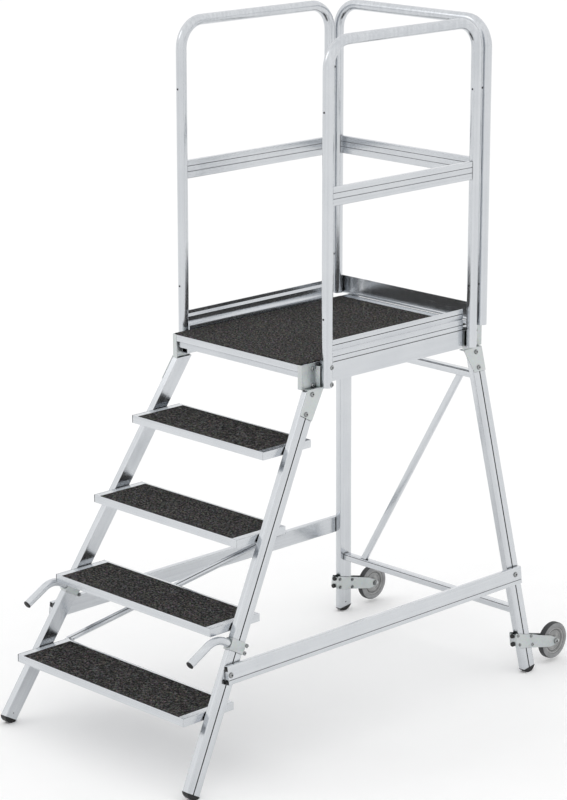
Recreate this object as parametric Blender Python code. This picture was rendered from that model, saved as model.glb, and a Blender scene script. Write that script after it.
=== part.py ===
"""Rolling warehouse platform ladder, built piece by piece in metres with +Z up.

The four steps climb towards +Y, the two carrying wheels are at the +Y end and +X is the climber's right.
Heights are above the floor. Sizes along Y are counted from the joint between the platform's nose and
its front beam until centre_over_floor() puts the origin under the middle of the ladder.
Right-hand pieces are modelled and left-hand ones are their mirror images.
"""

import math

import bmesh
import bpy
from mathutils import Matrix, Vector

# Driving dimensions
PLATFORM_HEIGHT = 1.200
STEP_COUNT = 4
GUARD_HEIGHT = 0.998
BASE_HALF_WIDTH = 0.4305
FLARE = 0.1235
STILE_FOOT_Y = -0.6247
STILE_RUN = 0.5824
LEG_FOOT_Y = 0.918
LEG_RUN = -0.1335
TOP_STEP_NOSE_Y = -0.187
STEP_GOING = 0.139
STEP_DEPTH = 0.205
PLATFORM_NOSE_Y = -0.0155
PLATFORM_BACK_Y = 0.808
WHEEL_RADIUS = 0.0625
AXLE_Y = 1.054
AXLE_Z = 0.072

# Stock sizes
RAIL_WIDTH = 0.023
RAIL_DEPTH = 0.054
RAIL_WALL = 0.0018
GROOVE_WIDTH = 0.0042
GROOVE_DEPTH = 0.0042
PLATE = 0.003
GAP = 0.0003
TUBE_RADIUS = 0.017
TUBE_WALL = 0.002
BRACE_HEIGHT = 0.059
BRACE_THICKNESS = 0.016
BOX_BAR = 0.025

# Levels and places worked out from the driving dimensions
RISE = PLATFORM_HEIGHT / (STEP_COUNT + 1)
MAT_PROUD = 0.0005
MAT_THICKNESS = 0.0023
STEP_HEIGHT = 0.025
SIDE_RIM = 0.024
DECK_TOP = PLATFORM_HEIGHT - 0.0025
BEAM_BOTTOM = 1.130
BEAM_TOP = 1.1895
BEAM_INNER_X = 0.262
FRONT_BEAM_HALF_LENGTH = 0.2737
FRONT_BEAM_BACK_Y = 0.0200
REAR_BEAM_DEPTH = 0.021
BEAM_OUTER_X = 0.2875
FASCIA_X = 0.3055
FASCIA_START_Y = 0.0835
FASCIA_END_Y = 0.702
RAIL_TOP = 1.1165
FOOT_RADIUS = 0.0320
FOOT_SAGITTA = 0.0150
FOOT_FLAT_ANGLE = 9
SIDE_HOOP_X = 0.323
FRONT_POST_Y = 0.062
REAR_POST_Y = 0.725
BACK_HOOP_X = 0.325
BACK_HOOP_Y = 0.770
HOOP_BEND = 0.085
HOOP_AXIS_TOP = PLATFORM_HEIGHT + GUARD_HEIGHT - TUBE_RADIUS
HANDLE_Z = 0.4120
KNEE_RAIL_BOTTOM = 1.6825
KNEE_RAIL_HEIGHT = 0.0585
KNEE_RAIL_THICKNESS = 0.013
TOE_BOARD_TOP = 1.2590
TOE_BOARD_START_Y = 0.0620
MERGE = 1e-6

UP = Vector((0, 0, 1))
FLARE_NORMAL = Vector((1, 0, FLARE)).normalized()
ALONG_STILE = Vector((-FLARE, STILE_RUN, 1)).normalized()
ALONG_LEG = Vector((-FLARE, LEG_RUN, 1)).normalized()

# Finish: base colour, roughness, metallic
FINISHES = {
    "aluminium": ((0.72, 0.74, 0.76), 0.32, 1.0),
    "zinc": ((0.55, 0.58, 0.58), 0.42, 1.0),
    "grit_mat": ((0.045, 0.043, 0.043), 0.9, 0.0),
    "black_rubber": ((0.015, 0.015, 0.015), 0.6, 0.0),
    "grey_rubber": ((0.11, 0.11, 0.115), 0.7, 0.0),
    "grey_plastic": ((0.27, 0.28, 0.28), 0.5, 0.0),
    "bearing_plastic": ((0.75, 0.74, 0.70), 0.4, 0.0),
    "bright_steel": ((0.62, 0.63, 0.64), 0.25, 1.0),
}


# ---------------------------------------------------------------- helpers


def clear_scene():
    for old in list(bpy.data.objects):
        bpy.data.objects.remove(old, do_unlink=True)


def finish(obj, kind):
    """Gives the object a material of its own in one of the FINISHES."""
    colour, roughness, metallic = FINISHES[kind]
    material = bpy.data.materials.new(f"{obj.name}_{kind}")
    material.use_nodes = True
    shader = material.node_tree.nodes["Principled BSDF"]
    shader.inputs["Base Color"].default_value = (*colour, 1)
    shader.inputs["Roughness"].default_value = roughness
    shader.inputs["Metallic"].default_value = metallic
    obj.data.materials.clear()
    obj.data.materials.append(material)
    return obj


def object_of(name, bm, kind, smooth=False):
    """Turns the bmesh into a linked object with outward faces."""
    bmesh.ops.remove_doubles(bm, verts=bm.verts, dist=MERGE)
    bmesh.ops.recalc_face_normals(bm, faces=bm.faces)
    mesh = bpy.data.meshes.new(name)
    bm.to_mesh(mesh)
    bm.free()
    if smooth:
        mesh.shade_smooth()
        mesh.set_sharp_from_angle(angle=math.radians(35))
    obj = bpy.data.objects.new(name, mesh)
    bpy.context.scene.collection.objects.link(obj)
    return finish(obj, kind)


def skin_between(bm, first, second):
    """Quads joining two rings that have the same number of vertices."""
    count = len(first)
    for i in range(count):
        j = (i + 1) % count
        bm.faces.new((first[i], first[j], second[j], second[i]))


def loft(name, rings, kind, bore_rings=None, endless=False, smooth=False):
    """A solid skinned over rings of points, hollow along bore_rings, or closed on itself if endless."""
    bm = bmesh.new()
    outside = [[bm.verts.new(point) for point in ring] for ring in rings]
    for first, second in zip(outside, outside[1:]):
        skin_between(bm, first, second)
    if endless:
        skin_between(bm, outside[-1], outside[0])
    elif bore_rings is None:
        bm.faces.new(outside[0])
        bm.faces.new(outside[-1])
    else:
        inside = [[bm.verts.new(point) for point in ring] for ring in bore_rings]
        for first, second in zip(inside, inside[1:]):
            skin_between(bm, first, second)
        skin_between(bm, outside[0], inside[0])
        skin_between(bm, outside[-1], inside[-1])
    return object_of(name, bm, kind, smooth)


def combine(obj, tool, operation):
    """Joins the tool to the object or cuts it out of it, and removes the tool."""
    modifier = obj.modifiers.new("combine", "BOOLEAN")
    modifier.operation = operation
    modifier.solver = "EXACT"
    modifier.object = tool
    bpy.context.view_layer.update()
    graph = bpy.context.evaluated_depsgraph_get()
    result = bpy.data.meshes.new_from_object(obj.evaluated_get(graph))
    obj.modifiers.clear()
    obj.data = result
    bpy.data.objects.remove(tool, do_unlink=True)
    return obj


def mirrored(obj, name):
    """The left-hand twin of a right-hand piece."""
    mesh = obj.data.copy()
    mesh.transform(Matrix.Scale(-1, 4, (1, 0, 0)))
    mesh.flip_normals()
    twin = bpy.data.objects.new(name, mesh)
    twin.location = (-obj.location.x, obj.location.y, obj.location.z)
    bpy.context.scene.collection.objects.link(twin)
    source = obj.data.materials[0]
    material = source.copy()
    material.name = source.name.replace(obj.name, name)
    mesh.materials[0] = material
    return twin


def arc(centre_u, centre_v, radius, start, end, steps):
    """Points on a circle, angles in degrees, both ends included."""
    points = []
    for i in range(steps + 1):
        angle = math.radians(start + (end - start) * i / steps)
        points.append((centre_u + radius * math.cos(angle), centre_v + radius * math.sin(angle)))
    return points


def rail_outline(width, height, corner, right=(), left=(), steps=2):
    """Outline of an extruded rail; right and left are grooves (v, width, depth) in its +u and -u faces."""
    half_u = width / 2
    half_v = height / 2
    points = arc(half_u - corner, -half_v + corner, corner, -90, 0, steps)
    for middle, wide, deep in right:
        low, high = middle - wide / 2, middle + wide / 2
        points += [(half_u, low), (half_u - deep, low), (half_u - deep, high), (half_u, high)]
    points += arc(half_u - corner, half_v - corner, corner, 0, 90, steps)
    points += arc(-half_u + corner, half_v - corner, corner, 90, 180, steps)
    for middle, wide, deep in reversed(left):
        low, high = middle - wide / 2, middle + wide / 2
        points += [(-half_u, high), (-half_u + deep, high), (-half_u + deep, low), (-half_u, low)]
    points += arc(-half_u + corner, -half_v + corner, corner, 180, 270, steps)
    return points


def inset(outline, wall):
    """The outline moved inwards by the wall thickness, corner by corner."""
    count = len(outline)
    moved = []
    for i in range(count):
        before, here, after = outline[i - 1], outline[i], outline[(i + 1) % count]
        first = Vector((here[0] - before[0], here[1] - before[1])).normalized()
        second = Vector((after[0] - here[0], after[1] - here[1])).normalized()
        normal_a = Vector((-first.y, first.x))
        normal_b = Vector((-second.y, second.x))
        mitre = (normal_a + normal_b).normalized()
        reach = wall / max(mitre.dot(normal_a), 0.3)
        moved.append((here[0] + mitre.x * reach, here[1] + mitre.y * reach))
    return moved


def ring_on_plane(outline, origin, along, across, plane_point, plane_normal):
    """The outline (u along across, v along along x across), slid along the bar onto a cutting plane."""
    side = along.cross(across)
    ring = []
    for u, v in outline:
        start = origin + across * u + side * v
        slide = (plane_point - start).dot(plane_normal) / along.dot(plane_normal)
        ring.append(start + along * slide)
    return ring


def bar(name, outline, origin, along, across, ends, kind, wall=None):
    """A straight extrusion cut by the two planes in ends, each (point, normal)."""
    rings = [ring_on_plane(outline, origin, along, across, *end) for end in ends]
    bores = None
    if wall:
        bores = [ring_on_plane(inset(outline, wall), origin, along, across, *end) for end in ends]
    return loft(name, rings, kind, bores)


def level(z):
    """A horizontal cutting plane."""
    return Vector((0, 0, z)), UP


def block(name, low, high, kind):
    """A plain box between two corners, for tools and small lugs."""
    ring = [(low[0], low[1]), (high[0], low[1]), (high[0], high[1]), (low[0], high[1])]
    rings = [[Vector((x, y, z)) for x, y in ring] for z in (low[2], high[2])]
    return loft(name, rings, kind)


def rounded_box_ring(half_x, front, back, z, corner=0.003):
    """A level ring with rounded corners, the same number of points at any size."""
    outline = rail_outline(2 * half_x, back - front, corner)
    return [Vector((u, v + (front + back) / 2, z)) for u, v in outline]


def turned(name, profile, segments, kind):
    """A ring turned about X from a closed profile of (x, radius) points."""
    rings = []
    for i in range(segments):
        angle = 2 * math.pi * i / segments
        rings.append([Vector((x, r * math.cos(angle), r * math.sin(angle))) for x, r in profile])
    return loft(name, rings, kind, endless=True, smooth=True)


def side_x(z):
    """Middle plane of the leaning stile and leg on the right-hand side."""
    return BASE_HALF_WIDTH - FLARE * z


def stile_y(z):
    return STILE_FOOT_Y + STILE_RUN * z


def leg_y(z):
    return LEG_FOOT_Y + LEG_RUN * z


def flare_point(y, z, out):
    """A point at a distance out from the leaning middle plane."""
    return Vector((side_x(z), y, z)) + FLARE_NORMAL * out


def flare_plate(name, corners, kind, inner=RAIL_WIDTH / 2 + GAP, thickness=PLATE):
    """A flat plate on the outer side of the leaning rails, from its (y, z) corners."""
    rings = [[flare_point(y, z, inner + more) for y, z in corners] for more in (0, thickness)]
    return loft(name, rings, kind)


# ---------------------------------------------------------------- rails and feet


def foot_frame(foot_y, run):
    """Centre of the domed sole, and the rail's downward and rearward directions, in the (y, z) plane."""
    centre_z = FOOT_RADIUS * math.cos(math.radians(FOOT_FLAT_ANGLE))
    centre = Vector((foot_y + run * centre_z, centre_z))
    down = -Vector((run, 1)).normalized()
    return centre, down, Vector((-down.y, down.x))


def make_rail(name, foot_y, run, along):
    """A hollow rail, grooved outside, from its square-cut foot to the underside of the platform."""
    outline = rail_outline(RAIL_WIDTH, RAIL_DEPTH, 0.0025, [(0, GROOVE_WIDTH, GROOVE_DEPTH)])
    centre, down, _ = foot_frame(foot_y, run)
    cut = centre + down * (FOOT_RADIUS - FOOT_SAGITTA - GAP)
    square_end = (Vector((0, cut.x, cut.y)), Vector((0, -down.x, -down.y)))
    origin = Vector((BASE_HALF_WIDTH, foot_y, 0))
    ends = (square_end, level(RAIL_TOP))
    return bar(name, outline, origin, along, FLARE_NORMAL, ends, "aluminium", RAIL_WALL)


def foot_block(name, half_width, corners):
    """A level-bottomed block under a leaning rail, from its (y, z) corners."""
    reach = half_width / FLARE_NORMAL.x
    rings = [[Vector((side_x(z) + side * reach, y, z)) for y, z in corners] for side in (-1, 1)]
    return loft(name, rings, "black_rubber")


def make_foot(name, foot_y, run):
    """A domed rubber foot with a small level tread, and a spigot pushed up into the hollow rail."""
    centre, down, rear = foot_frame(foot_y, run)
    chord = centre + down * (FOOT_RADIUS - FOOT_SAGITTA)
    half_angle = math.degrees(math.acos((FOOT_RADIUS - FOOT_SAGITTA) / FOOT_RADIUS))
    middle = -90 + math.degrees(math.atan(-run))
    flat_start, flat_end = -90 - FOOT_FLAT_ANGLE, -90 + FOOT_FLAT_ANGLE
    sole = arc(*centre, FOOT_RADIUS, middle - half_angle, flat_start, 5)
    sole += arc(*centre, FOOT_RADIUS, flat_end, middle + half_angle, 5)
    foot = foot_block(name, RAIL_WIDTH / 2 + 0.0008, sole)
    spigot_v = RAIL_DEPTH / 2 - RAIL_WALL - 0.0010
    spigot_u = RAIL_WIDTH / 2 - RAIL_WALL - GROOVE_DEPTH - 0.0005
    sunk, tall = 0.002, 0.016
    corners = []
    for v, w in ((-spigot_v, -sunk), (spigot_v, -sunk), (spigot_v, tall), (-spigot_v, tall)):
        corners.append(chord + rear * v - down * w)
    combine(foot, foot_block("spigot", spigot_u, corners), "UNION")
    return foot


def make_rails_and_feet():
    rails = (
        ("front_stile", STILE_FOOT_Y, STILE_RUN, ALONG_STILE),
        ("rear_leg", LEG_FOOT_Y, LEG_RUN, ALONG_LEG),
    )
    for name, foot_y, run, along in rails:
        mirrored(make_rail(f"{name}_R", foot_y, run, along), f"{name}_L")
        foot = name.split("_")[0] + "_foot"
        mirrored(make_foot(f"{foot}_R", foot_y, run), f"{foot}_L")


# ---------------------------------------------------------------- steps


def step_half_width(number):
    return side_x(number * RISE) - RAIL_WIDTH / 2 - 0.0035


def step_front(number):
    return TOP_STEP_NOSE_Y - STEP_GOING * (STEP_COUNT - number)


def make_step_lug(number, bottom, top):
    """The wedge at a step's end that fills the space to the leaning stile and takes its fixing."""
    inner_x = step_half_width(number) - 0.001
    middle = stile_y((bottom + top) / 2)
    front, back = middle - 0.020, middle + 0.020
    near = [Vector((inner_x, y, z)) for y, z in ((front, bottom), (back, bottom), (back, top), (front, top))]
    face = RAIL_WIDTH / 2 + GAP
    far = [Vector((side_x(p.z) - face / FLARE_NORMAL.x, p.y, p.z)) for p in near]
    return loft("step_lug", [near, far], "aluminium")


def make_step(number):
    """A pan-shaped aluminium step: recess for the mat above, hollow underneath, a lug at each end."""
    rim = number * RISE - MAT_PROUD
    bottom = rim - STEP_HEIGHT
    half, front = step_half_width(number), step_front(number)
    back = front + STEP_DEPTH
    wall = 0.0028
    floor = rim - MAT_THICKNESS + MAT_PROUD - GAP
    ceiling = floor - wall
    mat = (half - SIDE_RIM + GAP, front + 0.0027, back - 0.0097)
    rings = [
        rounded_box_ring(half - wall, front + wall, back - wall, ceiling, 0.002),
        rounded_box_ring(half - wall, front + wall, back - wall, bottom, 0.002),
        rounded_box_ring(half, front, back, bottom),
        rounded_box_ring(half, front, back, rim - 0.001),
        rounded_box_ring(half - 0.001, front + 0.001, back - 0.001, rim),
        rounded_box_ring(*mat, rim, 0.001),
        rounded_box_ring(*mat, floor, 0.001),
    ]
    tray = loft(f"step_tray_{number}", rings, "aluminium")
    for side in (1, -1):
        lug = make_step_lug(number, bottom + 0.002, rim - 0.003)
        if side < 0:
            lug.data.transform(Matrix.Scale(-1, 4, (1, 0, 0)))
            lug.data.flip_normals()
        combine(tray, lug, "UNION")
    make_step_mat(number, (half - SIDE_RIM, front + 0.003, back - 0.010), floor + GAP)


def make_step_mat(number, edges, underside):
    top = number * RISE
    half, front, back = edges
    rings = [
        rounded_box_ring(half, front, back, underside, 0.001),
        rounded_box_ring(half, front, back, top - 0.0004, 0.001),
        rounded_box_ring(half - 0.0004, front + 0.0004, back - 0.0004, top, 0.001),
    ]
    loft(f"step_mat_{number}", rings, "grit_mat")


def make_front_brace():
    """The slim grooved rail that crosses behind the steps, from step 1 on the left to step 3 on the right."""
    behind = 0.1075
    low_z, high_z = 0.2270, 0.697
    low = Vector((-0.4030, stile_y(low_z) + behind, low_z))
    high = Vector((0.3145, stile_y(high_z) + behind, high_z))
    along = (high - low).normalized()
    facing = Vector((0, 1, -STILE_RUN)).normalized()
    across = (facing - along * facing.dot(along)).normalized()
    groove = [(0.0, 0.0028, 0.0022)]
    outline = rail_outline(0.010, 0.020, 0.0018, groove, groove)
    ends = ((low, along), (high, along))
    brace = bar("front_diagonal_brace", outline, low, along, across, ends, "aluminium", 0.0014)
    for number, end, inwards in ((1, low, 1), (3, high, -1)):
        near_x, far_x = sorted((end.x + inwards * 0.002, end.x + inwards * 0.030))
        rear_of_step = step_front(number) + STEP_DEPTH + GAP
        lug_low = (near_x, rear_of_step, end.z - 0.004)
        lug_high = (far_x, end.y + 0.003, end.z + 0.009)
        combine(brace, block("lug", lug_low, lug_high, "aluminium"), "UNION")


# ---------------------------------------------------------------- lift handles


def make_handle():
    """A bent grip tube on a U-bracket round each stile, used to tilt the ladder onto its wheels."""
    centre_z = HANDLE_Z
    middle = Vector((side_x(centre_z), stile_y(centre_z), centre_z))
    half_u = RAIL_WIDTH / 2 + GAP
    front_v = -(RAIL_DEPTH / 2 + GAP)
    back_v = RAIL_DEPTH / 2 + 0.0120
    outline = [
        (half_u + PLATE, front_v - PLATE),
        (half_u + PLATE, back_v),
        (half_u, back_v),
        (half_u, front_v),
        (-half_u, front_v),
        (-half_u, back_v),
        (-half_u - PLATE, back_v),
        (-half_u - PLATE, front_v - PLATE),
    ]
    half_length = ALONG_STILE * 0.018
    ends = ((middle - half_length, ALONG_STILE), (middle + half_length, ALONG_STILE))
    bracket = bar("handle_bracket_R", outline, middle, ALONG_STILE, FLARE_NORMAL, ends, "zinc")
    notch_start, notch_end, notch_side = RAIL_DEPTH / 2 + 0.002, back_v + 0.01, half_u + 0.01
    notch = [(notch_side, notch_start), (notch_side, notch_end)]
    notch += [(-notch_side, notch_end), (-notch_side, notch_start)]
    half_notch = ALONG_STILE * 0.0055
    ends = ((middle - half_notch, ALONG_STILE), (middle + half_notch, ALONG_STILE))
    combine(bracket, bar("notch", notch, middle, ALONG_STILE, FLARE_NORMAL, ends, "zinc"), "DIFFERENCE")
    mirrored(bracket, "handle_bracket_L")
    stations = handle_path(middle + ALONG_STILE.cross(FLARE_NORMAL) * (front_v - PLATE - GAP))
    radius = 0.0125
    tube = loft(
        "handle_tube_R",
        [disc_ring(point, heading, radius) for point, heading in stations],
        "aluminium",
        [disc_ring(point, heading, radius - TUBE_WALL) for point, heading in stations],
        smooth=True,
    )
    mirrored(tube, "handle_tube_L")
    mirrored(make_handle_plug(*stations[-1], radius), "handle_plug_L")


def handle_path(root):
    """Stations (point, heading) square out of the stile, round a bend and down to the open end."""
    start_pitch = math.radians(30)
    end_pitch = math.radians(-29)
    bend = 0.070
    heading = Vector((0, -math.cos(start_pitch), math.sin(start_pitch)))
    stations = [(root, -ALONG_STILE.cross(FLARE_NORMAL))]
    point = root + heading * 0.019
    steps = 6
    turn = (end_pitch - start_pitch) / steps
    stations.append((point, heading))
    for i in range(steps):
        pitch = start_pitch + turn * (i + 0.5)
        chord = 2 * bend * math.sin(abs(turn) / 2)
        point = point + Vector((0, -math.cos(pitch), math.sin(pitch))) * chord
        pitch = start_pitch + turn * (i + 1)
        heading = Vector((0, -math.cos(pitch), math.sin(pitch)))
        stations.append((point, heading))
    stations.append((point + heading * 0.080, heading))
    return stations


def disc_ring(point, heading, radius, count=16):
    """A circle of points round a station, square to its heading."""
    right = Vector((1, 0, 0))
    side = (right - heading * heading.x).normalized()
    up = heading.cross(side)
    ring = []
    for i in range(count):
        angle = 2 * math.pi * i / count
        ring.append(point + side * (radius * math.cos(angle)) + up * (radius * math.sin(angle)))
    return ring


def make_handle_plug(point, heading, radius):
    bore = radius - TUBE_WALL - 0.0003
    brim = radius + 0.0005
    stack = [(-0.014, bore), (GAP, bore), (GAP, brim), (0.0025, brim), (0.0045, radius - 0.003)]
    rings = [disc_ring(point + heading * offset, heading, size) for offset, size in stack]
    return loft("handle_plug_R", rings, "black_rubber", smooth=True)


# ---------------------------------------------------------------- platform


def make_side_beam():
    """A hollow box beam; between the corner plates it widens out to the smooth fascia."""
    wall = 0.0025
    low, high = BEAM_BOTTOM, BEAM_TOP - GAP

    def section(y, inner_x, outer_x, bottom, top):
        corners = ((inner_x, bottom), (outer_x, bottom), (outer_x, top), (inner_x, top))
        return [Vector((x, y, z)) for x, z in corners]

    front, start, end = FRONT_BEAM_BACK_Y + GAP, FASCIA_START_Y, FASCIA_END_Y
    outside = [(front, BEAM_OUTER_X), (start, BEAM_OUTER_X), (start, FASCIA_X)]
    outside += [(end, FASCIA_X), (end, BEAM_OUTER_X), (PLATFORM_BACK_Y, BEAM_OUTER_X)]
    skin = [section(y, BEAM_INNER_X, x, low, high) for y, x in outside]
    bore = []
    for y, x in outside:
        shift = wall if y == start else -wall if y == end else 0
        bore.append(section(y + shift, BEAM_INNER_X + wall, x - wall, low + wall, high - wall))
    beam = loft("side_beam_R", skin, "aluminium", bore)
    mirrored(beam, "side_beam_L")


def extrude_along_x(name, outline, half_length, kind):
    """A (y, z) outline run from side to side."""
    rings = [[Vector((x, y, z)) for y, z in outline] for x in (-half_length, half_length)]
    return loft(name, rings, kind)


def extrude_along_y(name, outline, start, end, kind):
    """An (x, z) outline run from front to back."""
    rings = [[Vector((x, y, z)) for x, z in outline] for y in (start, end)]
    return loft(name, rings, kind)


def make_cross_beams():
    """The front beam with its overhanging nose, and the plain rear beam, between the side beams."""
    nose, web_face, back = PLATFORM_NOSE_Y, PLATFORM_NOSE_Y + 0.008, FRONT_BEAM_BACK_Y
    low, step, top = 1.155, 1.175, DECK_TOP
    wall = 0.003
    front = [
        (web_face, low),
        (back, low),
        (back, low + wall),
        (web_face + wall, low + wall),
        (web_face + wall, top - wall),
        (back, top - wall),
        (back, top),
        (nose + 0.002, top),
        (nose, top - 0.002),
        (nose, step + 0.001),
        (nose + 0.001, step),
        (web_face, step),
    ]
    extrude_along_x("front_beam", front, FRONT_BEAM_HALF_LENGTH, "aluminium")
    half = BEAM_INNER_X - GAP
    rear_front = PLATFORM_BACK_Y - REAR_BEAM_DEPTH
    middle = Vector((0, (rear_front + PLATFORM_BACK_Y) / 2, (BEAM_BOTTOM + BEAM_TOP) / 2))
    outline = rail_outline(BEAM_TOP - BEAM_BOTTOM - GAP, REAR_BEAM_DEPTH, 0.0030)
    right = Vector((1, 0, 0))
    ends = ((middle + right * half, right), (middle - right * half, right))
    bar("rear_beam", outline, middle, right, UP, ends, "aluminium", 0.0022)


def make_deck():
    """A ribbed aluminium floor plank lying on the side beams."""
    rib_count, rib_half, rib_bottom = 9, 0.002, 1.166
    plate_bottom = BEAM_TOP + GAP
    half = BEAM_OUTER_X - GAP
    spacing = 2 * (BEAM_INNER_X - 0.014) / (rib_count - 1)
    outline = [(half, DECK_TOP), (-half, DECK_TOP), (-half, plate_bottom)]
    for i in range(rib_count):
        middle = (i - (rib_count - 1) / 2) * spacing
        outline += [
            (middle - rib_half, plate_bottom + 0.003),
            (middle - rib_half, rib_bottom),
            (middle + rib_half, rib_bottom),
            (middle + rib_half, plate_bottom + 0.003),
        ]
        if i == 0:
            outline.insert(3, (-BEAM_INNER_X, plate_bottom))
            outline.insert(4, (-BEAM_INNER_X, plate_bottom + 0.003))
    outline += [(BEAM_INNER_X, plate_bottom + 0.003), (BEAM_INNER_X, plate_bottom), (half, plate_bottom)]
    extrude_along_y("platform_deck", outline, 0.0203, PLATFORM_BACK_Y - 0.0213, "aluminium")


def make_platform_mat():
    half, front, back = 0.283, PLATFORM_NOSE_Y + 0.0005, 0.7420
    under = DECK_TOP + GAP
    top = PLATFORM_HEIGHT + 0.0005
    rings = [
        rounded_box_ring(half, front, back, under, 0.0015),
        rounded_box_ring(half, front, back, top - 0.0005, 0.0015),
        rounded_box_ring(half - 0.0005, front + 0.0005, back - 0.0005, top, 0.0015),
    ]
    loft("platform_mat", rings, "grit_mat")


def toe_board_outline(low, outer, inside):
    """Kick board section; inside lists (distance below the top, thickness) down the inner face."""
    high = TOE_BOARD_TOP
    rebate_depth, rebate_height = 0.0020, 0.0022
    thickness = inside[-1][1]
    outline = [(outer - thickness, low), (outer - rebate_depth, low)]
    outline += [(outer - rebate_depth, low + rebate_height), (outer, low + rebate_height)]
    grooves = ((0.0525, 0.0012, 0.0020), (0.0340, 0.0050, 0.0026), (0.0160, 0.0012, 0.0028))
    for below_top, half_wide, deep in grooves:
        middle = high - below_top
        outline += [(outer, middle - half_wide), (outer - deep, middle), (outer, middle + half_wide)]
    outline += [(outer, high - 0.001), (outer - 0.001, high)]
    return outline + [(outer - thick, high - below_top) for below_top, thick in inside]


def make_toe_boards():
    wall = 0.0035
    ribs = [(0, wall), (0.011, wall), (0.0112, 0.0036), (0.021, 0.0065), (0.0214, wall), (0.033, wall)]
    ribs += [(0.038, 0.0040), (0.048, 0.0065), (0.051, 0.0095)]
    side = toe_board_outline(BEAM_TOP + GAP, FASCIA_X, ribs)
    board = extrude_along_y("toe_board_R", side, TOE_BOARD_START_Y, FASCIA_END_Y, "aluminium")
    mirrored(board, "toe_board_L")
    plain = [(0, wall), (0.050, wall), (0.053, 0.0065)]
    back_outer = BACK_HOOP_Y + TUBE_RADIUS + GAP + 0.0065
    back = toe_board_outline(DECK_TOP + 0.0008, back_outer, plain)
    extrude_along_x("toe_board_back", back, BACK_HOOP_X, "aluminium")


# ---------------------------------------------------------------- guard hoops


def hoop_stations(span, bottom_a, bottom_b, top, bend):
    """Stations (s, z, heading) up one post, over the two bends and down the other post."""
    steps = 8
    stations = [(0, bottom_a, (0, 1))]
    for i in range(steps + 1):
        angle = math.pi / 2 * i / steps
        place = (bend * (1 - math.cos(angle)), top - bend + bend * math.sin(angle))
        stations.append((*place, (math.sin(angle), math.cos(angle))))
    for i in range(steps + 1):
        angle = math.pi / 2 * i / steps
        place = (span - bend + bend * math.sin(angle), top - bend + bend * math.cos(angle))
        stations.append((*place, (math.cos(angle), -math.sin(angle))))
    stations.append((span, bottom_b, (0, -1)))
    return stations


def hoop_rings(stations, start, run, radius, count=20):
    """Circles of points round the stations of a hoop that stands on start and spreads along run."""
    depth = run.cross(UP)
    rings = []
    for s, z, (along, rise) in stations:
        centre = start + run * s + UP * z
        sideways = run * rise - UP * along
        ring = []
        for i in range(count):
            angle = 2 * math.pi * i / count
            ring.append(centre + sideways * (radius * math.cos(angle)) + depth * (radius * math.sin(angle)))
        rings.append(ring)
    return rings


def make_hoop(name, start, run, span, bottoms):
    stations = hoop_stations(span, *bottoms, HOOP_AXIS_TOP, HOOP_BEND)
    outside = hoop_rings(stations, start, run, TUBE_RADIUS)
    bore = hoop_rings(stations, start, run, TUBE_RADIUS - TUBE_WALL)
    return loft(name, outside, "aluminium", bore, smooth=True)


def make_hoops():
    side_start = Vector((SIDE_HOOP_X, FRONT_POST_Y, 0))
    span = REAR_POST_Y - FRONT_POST_Y
    side = make_hoop("guard_hoop_R", side_start, Vector((0, 1, 0)), span, (1.122, 1.134))
    mirrored(side, "guard_hoop_L")
    back_start = Vector((-BACK_HOOP_X, BACK_HOOP_Y, 0))
    back_bottom = PLATFORM_HEIGHT + 0.0015
    make_hoop("guard_hoop_back", back_start, Vector((1, 0, 0)), 2 * BACK_HOOP_X, (back_bottom, back_bottom))


def make_knee_rails():
    """Flat rails with two grooves a side, butting on the posts at mid height."""
    height = KNEE_RAIL_HEIGHT
    grooves = [(height / 2 - 0.0365, 0.0024, 0.0018), (height / 2 - 0.0186, 0.0020, 0.0020)]
    outline = rail_outline(KNEE_RAIL_THICKNESS, height, 0.0020, grooves, grooves)
    reach = TUBE_RADIUS + GAP
    centre_z = KNEE_RAIL_BOTTOM + height / 2
    middle = Vector((SIDE_HOOP_X, (FRONT_POST_Y + REAR_POST_Y) / 2, centre_z))
    half = (REAR_POST_Y - FRONT_POST_Y) / 2 - reach
    along, across = Vector((0, -1, 0)), Vector((1, 0, 0))
    ends = ((middle - along * half, along), (middle + along * half, along))
    rail = bar("knee_rail_R", outline, middle, along, across, ends, "aluminium", 0.0016)
    mirrored(rail, "knee_rail_L")
    middle = Vector((0, BACK_HOOP_Y, centre_z))
    half = BACK_HOOP_X - reach
    along, across = Vector((1, 0, 0)), Vector((0, 1, 0))
    ends = ((middle - along * half, along), (middle + along * half, along))
    bar("knee_rail_back", outline, middle, along, across, ends, "aluminium", 0.0016)


# ---------------------------------------------------------------- corner plates


def strip_outline(points, thickness):
    """A bent strip of sheet: the polyline and its offset to the left."""
    offset = []
    for i, (x, y) in enumerate(points):
        here = Vector((x, y))
        before = Vector(points[i - 1]) if i > 0 else None
        after = Vector(points[i + 1]) if i + 1 < len(points) else None
        normals = []
        for start, end in ((before, here), (here, after)):
            if start is not None and end is not None:
                step = (end - start).normalized()
                normals.append(Vector((-step.y, step.x)))
        mitre = sum(normals, Vector((0, 0))).normalized()
        offset.append(here + mitre * (thickness / mitre.dot(normals[0])))
    return [Vector(p) for p in points] + offset[::-1]


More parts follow.
